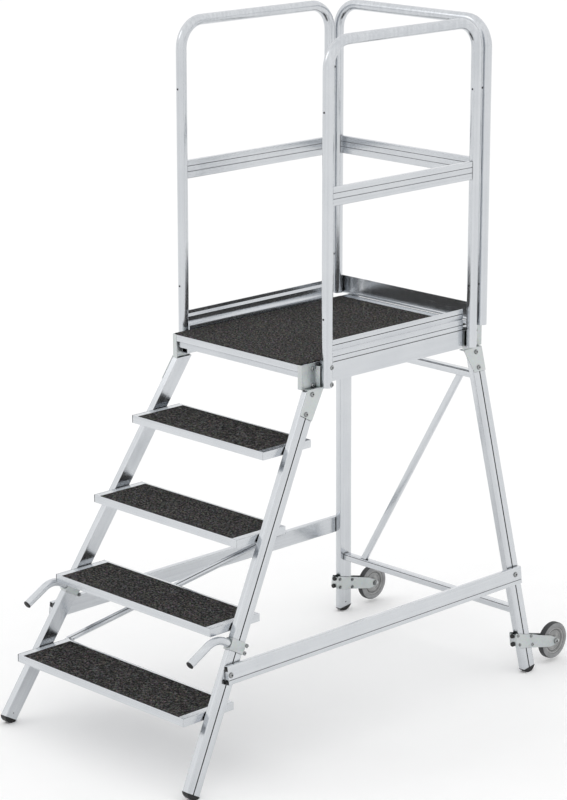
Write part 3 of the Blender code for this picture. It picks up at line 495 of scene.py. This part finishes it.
def add_turned(bm, centre, axis, stations, count=24):
    """A capped body of revolution; a station is (offset, radius) or (offset, radius, "hex")."""
    axis = axis.normalized()
    first, second = cross_axes(axis)
    rings = []
    for station in stations:
        offset, radius = station[0], station[1]
        points = []
        for i in range(count):
            angle = 2 * math.pi * i / count
            reach = hex_radius(angle, radius) if len(station) > 2 else radius
            sideways = first * (reach * math.cos(angle)) + second * (reach * math.sin(angle))
            points.append(centre + axis * offset + sideways)
        rings.append(add_ring(bm, points))
    skin(bm, rings)
    bm.faces.new(rings[0])
    bm.faces.new(rings[-1])


def dome(radius, height, steps=5):
    """Stations of a domed head from its rim up to a small flat top."""
    stations = []
    for i in range(steps + 1):
        angle = math.pi / 2 * i / (steps + 0.8)
        stations.append((height * math.sin(angle), radius * math.cos(angle)))
    return stations


def add_round_head(bm, centre, axis, radius, height=None):
    """Button-head screw on a thin washer, with a hexagon socket."""
    height = height or radius * 0.62
    lift = radius * 0.12
    head = dome(radius * 0.88, height)
    socket = radius * 0.36
    stations = [(0, radius), (lift * 0.7, radius), (lift, radius * 0.96), (lift, head[0][1])]
    stations += [(lift + offset, reach) for offset, reach in head if reach > socket * 1.25]
    top = stations[-1][0]
    stations += [(top, socket, "hex"), (top - height * 0.55, socket, "hex")]
    add_turned(bm, centre, axis, stations)


def add_hex_nut(bm, centre, axis, radius, height):
    """Chamfered hexagon nut with the bolt's end standing out of it."""
    stations = [(0, radius * 1.15), (0.0008, radius * 1.15), (0.0008, radius, "hex")]
    stations += [(height * 0.85, radius, "hex"), (height, radius * 0.84), (height, radius * 0.50)]
    stations += [(height + radius * 0.22, radius * 0.50), (height + radius * 0.30, radius * 0.42)]
    add_turned(bm, centre, axis, stations)


def add_rivet(bm, centre, axis, radius):
    """Low domed head, slightly raised."""
    head = [(radius * 0.1 + offset, reach) for offset, reach in dome(radius, radius * 0.5, 4)]
    add_turned(bm, centre, axis, [(0, radius)] + head, 16)


# ---------------------------------------------------------------- guard hoops


def hoop_path(span, bottoms, top, bend, steps=14):
    """Stations (s, z, angle of travel from vertical) round a hoop."""
    stations = [(0, bottoms[0], 0.0)]
    for i in range(steps + 1):
        angle = math.pi / 2 * i / steps
        stations.append((bend * (1 - math.cos(angle)), top - bend + bend * math.sin(angle), angle))
    for i in range(steps + 1):
        angle = math.pi / 2 * i / steps
        place = (span - bend + bend * math.sin(angle), top - bend + bend * math.cos(angle))
        stations.append((*place, math.pi / 2 + angle))
    stations.append((span, bottoms[1], math.pi))
    return stations


def make_hoop(node, start, run, span, bottoms):
    """One smooth bent tube from post to post, starting at a point on the floor and running along run."""
    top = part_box(node)[1].z - HOOP_RADIUS
    depth = run.cross(UP)
    frames = []
    for s, z, travel in hoop_path(span, bottoms, top, HOOP_BEND):
        sideways = run * math.cos(travel) - UP * math.sin(travel)
        frames.append((start + run * s + UP * z, sideways, depth))
    bm = bmesh.new()
    add_tube(bm, frames, HOOP_RADIUS, HOOP_WALL, 40)
    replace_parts(piece(f"{node}_tube", bm, BRUSHED["along_z"], "frame", 60), node)


def make_hoops():
    for side in "RL":
        node = f"guard_hoop_{side}"
        low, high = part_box(node)
        start = Vector(((low.x + high.x) / 2, low.y + HOOP_RADIUS, 0))
        make_hoop(node, start, BACK, high.y - low.y - 2 * HOOP_RADIUS, HOOP_SIDE_BOTTOMS)
    low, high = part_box("guard_hoop_back")
    start = Vector((low.x + HOOP_RADIUS, (low.y + high.y) / 2, 0))
    make_hoop("guard_hoop_back", start, RIGHT, high.x - low.x - 2 * HOOP_RADIUS, (low.z, low.z))


# ---------------------------------------------------------------- wheels and handles


def make_tyre(side, centre):
    """Rounded tread on flat walls, with a shallow line round the middle."""
    profile = [(TYRE_HALF - 0.0012, TYRE_INSIDE), (TYRE_HALF, TYRE_INSIDE + 0.0015)]
    steps = 8
    for i in range(steps + 1):
        angle = math.pi / 2 * i / steps
        half = TYRE_HALF - TYRE_SHOULDER + TYRE_SHOULDER * math.cos(angle)
        profile.append((half, TYRE_RADIUS - TYRE_SHOULDER + TYRE_SHOULDER * math.sin(angle)))
    profile.append((0.0035, TYRE_RADIUS - 0.0001))
    bm = bmesh.new()
    add_lathe_ring(bm, centre, profile, 96)
    tyre = piece(f"tyre_{side}", bm, GREY_TYRE, f"wheel_{side}")
    tyre.data.materials.append(TYRE_WALL)
    for face in tyre.data.polygons:
        face.material_index = int(abs(face.normal.x) > 0.75)
    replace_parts(tyre, f"wheel_tyre_{side}")


def make_hub(side, centre):
    """Moulded hub: boss, thin disc with a raised rib, and a stepped rim."""
    bm = bmesh.new()
    add_lathe_ring(bm, centre, [*HUB_BOSS, *HUB_RIB, *HUB_STEP, *HUB_RIM], 72)
    hub = piece(f"hub_{side}", bm, GREY_PLASTIC, f"wheel_{side}")
    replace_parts(hub, f"wheel_hub_{side}")


def make_axle_bolt(side, centre, outward):
    """Shaft with a button head outside and a nut inside."""
    bm = bmesh.new()
    add_turned(bm, centre, RIGHT, [(-AXLE_HALF, AXLE_RADIUS), (AXLE_HALF, AXLE_RADIUS)])
    add_hex_nut(bm, centre - outward * AXLE_HALF, -outward, 0.0085, 0.0034)
    add_round_head(bm, centre + outward * AXLE_HALF, outward, 0.0098, 0.0052)
    bolt = piece(f"axle_bolt_{side}", bm, BOLT_STEEL, "frame")
    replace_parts(bolt, f"wheel_axle_{side}")


def make_wheels():
    for side, sign in SIDES:
        centre = mirror(AXLE, sign)
        make_tyre(side, centre)
        make_hub(side, centre)
        make_axle_bolt(side, centre, RIGHT * sign)


def handle_route():
    """Stations (point, heading) of the right-hand lift handle, from its bracket to the open end."""
    square = -ALONG_STILE.cross(FLARE_NORMAL)
    root = on_flare(STILE_Y0 + STILE_RUN * HANDLE_Z, HANDLE_Z, 0)
    root = root + square * (RAIL_DEPTH / 2 + GAP + PLATE + GAP)
    start, end, steps = math.radians(30), math.radians(-29), 18
    turn = (end - start) / steps
    chord = 2 * HANDLE_BEND * math.sin(abs(turn) / 2)

    def heading(pitch):
        return Vector((0, -math.cos(pitch), math.sin(pitch)))

    point = root + heading(start) * 0.019
    stations = [(root, square), (point, heading(start))]
    for i in range(steps):
        point = point + heading(start + turn * (i + 0.5)) * chord
        stations.append((point, heading(start + turn * (i + 1))))
    stations.append((point + stations[-1][1] * HANDLE_TAIL, stations[-1][1]))
    return stations


def make_handles():
    frames = []
    for point, heading in handle_route():
        across = (RIGHT - heading * heading.x).normalized()
        frames.append((point, across, heading.cross(across)))
    for side, sign in SIDES:
        bm = bmesh.new()
        add_tube(bm, frames, HANDLE_RADIUS, HANDLE_WALL, 32, sign)
        tube = piece(f"handle_grip_{side}", bm, BRUSHED["along_y"], "frame", 60)
        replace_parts(tube, f"handle_tube_{side}")


# ---------------------------------------------------------------- fasteners


def bolt_group(name, side, spots):
    """Round heads at (point, axis, radius, height), mirrored to a side."""
    sign = 1 if side == "R" else -1
    bm = bmesh.new()
    for point, axis, radius, height in spots:
        add_round_head(bm, mirror(point, sign), mirror(axis, sign), radius, height)
    piece(f"{name}_{side}", bm, BOLT_STEEL, "frame")


def make_corner_bolts():
    post_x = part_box("guard_hoop_R")[1].x - 0.0006
    spots = []
    for y, z in PLATE_BOLTS:
        spots.append((Vector((CORNER_PLATE_X, NOSE_Y + y, z)), RIGHT, 0.0075, 0.0046))
    for y, z in TONGUE_BOLTS:
        spots.append((on_flare(NOSE_Y + y, z, PLATE_OUTSIDE), FLARE_NORMAL, 0.0080, 0.0050))
    for y, z in POST_BOLTS:
        spots.append((Vector((post_x, NOSE_Y + y, z)), RIGHT, 0.0078, 0.0044))
    for side in "LR":
        bolt_group("corner_bolts", side, spots)


def make_post_rivets():
    """Small dark rivets in the front of every post, one low down and one below the bend."""
    bm = bmesh.new()
    inset = HOOP_RADIUS - 0.0002
    low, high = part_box("guard_hoop_R")
    back_low, back_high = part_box("guard_hoop_back")
    posts = [((low.x + high.x) / 2, low.y + inset), ((low.x + high.x) / 2, high.y - inset)]
    posts.append((back_high.x - inset, (back_low.y + back_high.y) / 2))
    for x, y in posts:
        for sign in (1, -1):
            for z in POST_RIVET_HEIGHTS:
                add_rivet(bm, Vector((x * sign, y - inset, z)), -BACK, 0.0032)
    piece("post_rivets", bm, BLACK_RUBBER, "frame")


def make_handle_bolts():
    """Two clamp bolts with spacers behind each stile, through the ears of the handle bracket."""
    rearward = ALONG_STILE.cross(FLARE_NORMAL)
    centre = on_flare(STILE_Y0 + STILE_RUN * HANDLE_Z, HANDLE_Z, 0)
    for side, sign in SIDES:
        axis = mirror(FLARE_NORMAL, sign)
        bm = bmesh.new()
        for along in (0.0120, -0.0120):
            middle = centre + rearward * (RAIL_DEPTH / 2 + 0.0062) + ALONG_STILE * along
            place = mirror(middle, sign)
            add_round_head(bm, place + axis * PLATE_OUTSIDE, axis, 0.0060, 0.0048)
            add_hex_nut(bm, place - axis * PLATE_OUTSIDE, -axis, 0.0056, 0.0040)
            add_turned(bm, place, axis, [(-PLATE_OUTSIDE, 0.0042), (PLATE_OUTSIDE, 0.0042)])
        piece(f"handle_bolts_{side}", bm, BOLT_STEEL, "frame")


def make_wheel_bolts():
    """Four clamp bolts in each wheel bracket, the back two behind the leg, and two black stops."""
    for side, sign in SIDES:
        axis = mirror(FLARE_NORMAL, sign)
        bm = bmesh.new()
        for y, z in LEG_FRONT_BOLTS + LEG_BACK_BOLTS:
            place = mirror(on_flare(NOSE_Y + y, z, 0), sign)
            add_round_head(bm, place + axis * PLATE_OUTSIDE, axis, 0.0056, 0.0036)
            add_hex_nut(bm, place - axis * PLATE_OUTSIDE, -axis, 0.0052, 0.0036)
            if (y, z) in LEG_BACK_BOLTS:
                add_turned(bm, place, axis, [(-PLATE_OUTSIDE, 0.0040), (PLATE_OUTSIDE, 0.0040)])
        piece(f"wheel_bracket_bolts_{side}", bm, BOLT_STEEL, "frame")
        bm = bmesh.new()
        web_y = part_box(f"wheel_bracket_{side}")[0].y
        for z in STOP_HEIGHTS:
            place = mirror(Vector((RAIL_X0 - FLARE * z, web_y, z)), sign)
            add_turned(bm, place, -BACK, [(0, 0.0075), (0.0050, 0.0075), (0.0062, 0.0062)])
        piece(f"wheel_bracket_stops_{side}", bm, BLACK_RUBBER, "frame")


def add_brace_block(bm, sign, y_range, v_range, half_u):
    """A block inside the side brace's section: v is up the leaning face, u out from it."""
    centre = on_flare(0, BRACE_Z, RAIL_HALF + GAP + BRACE_HALF_DEPTH)
    lean_up = Vector((-FLARE, 0, 1)).normalized()
    low, high = v_range
    rings = []
    for y in y_range:
        points = []
        for u, v in ((-half_u, low), (half_u, low), (half_u, high), (-half_u, high)):
            point = centre + FLARE_NORMAL * u + lean_up * v + BACK * (NOSE_Y + y)
            points.append(mirror(point, sign))
        rings.append(add_ring(bm, points))
    skin(bm, rings)
    bm.faces.new(rings[0])
    bm.faces.new(rings[-1])


def make_brace_ends():
    """Bolts of the side braces, the solid web between the chambers and the plug of the lower chamber."""
    outer = RAIL_HALF + GAP + 2 * BRACE_HALF_DEPTH
    heads = []
    for y, z in BRACE_BOLTS:
        heads.append((on_flare(NOSE_Y + y, z, outer), FLARE_NORMAL, 0.0088, 0.0055))
    length, sunk, proud = 0.012, 0.0006, 0.0015
    web, chamber = (-0.0135, 0.0125), (-0.0275, -0.0185)
    for side, sign in SIDES:
        bolt_group("brace_bolts", side, heads)
        bm = bmesh.new()
        add_brace_block(bm, sign, (BRACE_START + sunk, BRACE_START + length), web, 0.0063)
        add_brace_block(bm, sign, (BRACE_END - length, BRACE_END - sunk), web, 0.0063)
        piece(f"brace_webs_{side}", bm, BRUSHED["along_y"], "frame")
        bm = bmesh.new()
        add_brace_block(bm, sign, (BRACE_START - proud, BRACE_START + length), chamber, 0.0060)
        piece(f"brace_lower_plug_{side}", bm, BLACK_RUBBER, "frame")


def make_foot_rivets():
    """One small rivet holds each foot, on the inner face of its rail."""
    bm = bmesh.new()
    for sign in (1, -1):
        for foot_y, run in ((STILE_Y0, STILE_RUN), (LEG_Y0, LEG_RUN)):
            inner = on_flare(foot_y + run * FOOT_RIVET_Z, FOOT_RIVET_Z, -RAIL_HALF)
            add_rivet(bm, mirror(inner, sign), mirror(-FLARE_NORMAL, sign), 0.0026)
    piece("foot_rivets", bm, BOLT_STEEL, "frame")


def make_step_ends():
    """A pressed plate closes each end of every step tray, with a fine seam round it."""
    thickness, chamfer, seam = 0.0024, 0.0006, 0.0004
    for number in STEPS:
        low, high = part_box(f"step_tray_{number}")
        half = RAIL_X0 - FLARE * number * STEP_RISE - RAIL_HALF - 0.0035
        bm = bmesh.new()
        for sign in (1, -1):
            rings = []
            for out, shrink in ((GAP, 0.0), (thickness - chamfer, 0.0), (thickness, chamfer)):
                x = sign * (half + out)
                y0, y1 = low.y + shrink + seam, high.y - shrink - seam
                z0, z1 = low.z + shrink, high.z - shrink
                corners = ((y0, z0), (y1, z0), (y1, z1), (y0, z1))
                rings.append(add_ring(bm, [Vector((x, y, z)) for y, z in corners]))
            skin(bm, rings)
            bm.faces.new(rings[0])
            bm.faces.new(rings[-1])
        piece(f"step_end_plates_{number}", bm, BRUSHED["along_y"], "frame")


def make_fasteners():
    make_corner_bolts()
    make_post_rivets()
    make_handle_bolts()
    make_wheel_bolts()
    make_brace_ends()
    make_foot_rivets()
    make_step_ends()


# ---------------------------------------------------------------- surroundings


def make_floor():
    """A wide pale floor, a hair below the feet."""
    size, drop = 60, 0.0005
    bm = bmesh.new()
    corners = ((-size, -size), (size, -size), (size, size), (-size, size))
    bm.faces.new([bm.verts.new((x, y, -drop)) for x, y in corners])
    mesh = bpy.data.meshes.new("floor")
    bm.to_mesh(mesh)
    bm.free()
    floor = bpy.data.objects.new("floor", mesh)
    bpy.context.scene.collection.objects.link(floor)
    kit = Kit("pale_floor")
    grain = kit.noise(kit.position(), 3.0, 3.0)
    kit.colour(kit.ramp(grain, (0.3, 0.955), (0.7, 0.975)), painted_shade=False)
    kit.set(Roughness=0.8)
    kit.shader.inputs["Specular IOR Level"].default_value = 0.1
    mesh.materials.append(kit.material)


def make_world():
    """An even white studio, a little brighter towards the front left."""
    world = bpy.data.worlds.new("studio")
    bpy.context.scene.world = world
    world.use_nodes = True
    tree = world.node_tree
    background = tree.nodes["Background"]
    place = tree.nodes.new("ShaderNodeTexCoord")
    dot = tree.nodes.new("ShaderNodeVectorMath")
    dot.operation = "DOT_PRODUCT"
    dot.inputs[1].default_value = Vector((-0.45, -0.75, 0.48)).normalized()
    tree.links.new(place.outputs["Generated"], dot.inputs[0])
    ramp = tree.nodes.new("ShaderNodeValToRGB")
    first, last = ramp.color_ramp.elements
    first.position, first.color = 0.0, (0.985, 0.985, 0.985, 1)
    last.position, last.color = 1.0, (1.0, 1.0, 1.0, 1)
    tree.links.new(dot.outputs["Value"], ramp.inputs["Fac"])
    tree.links.new(ramp.outputs["Color"], background.inputs["Color"])
    background.inputs["Strength"].default_value = 1.07


def add_area(name, place, target, size, power):
    light = bpy.data.lights.new(name, "AREA")
    light.shape = "RECTANGLE"
    light.size, light.size_y = size
    light.energy = power
    obj = bpy.data.objects.new(name, light)
    obj.location = place
    obj.rotation_euler = (Vector(target) - Vector(place)).to_track_quat("-Z", "Y").to_euler()
    bpy.context.scene.collection.objects.link(obj)


def make_lights():
    """One weak, wide key from the front left; the white studio does the rest."""
    add_area("key", (-3.5, -4.5, 5.5), (0, 0, 1.1), (2.5, 2.5), 22)


def make_camera():
    """A long lens from the front right, a little above the platform's height and turned down."""
    azimuth, elevation = math.radians(45.4427), math.radians(15.1706)
    camera = bpy.data.cameras.new("camera")
    camera.sensor_width = 36
    camera.lens = 122.2839
    camera.clip_end = 200
    obj = bpy.data.objects.new("camera", camera)
    obj.location = (5.95675, NOSE_Y - 5.67191, 3.26091)
    obj.rotation_euler = (math.pi / 2 - elevation, 0, azimuth)
    bpy.context.scene.collection.objects.link(obj)
    bpy.context.scene.camera = obj


def main():
    scene = bpy.context.scene
    scene.view_settings.view_transform = "Standard"
    dress_all()
    make_hoops()
    make_wheels()
    make_handles()
    make_fasteners()
    make_floor()
    make_world()
    make_lights()
    make_camera()


main()
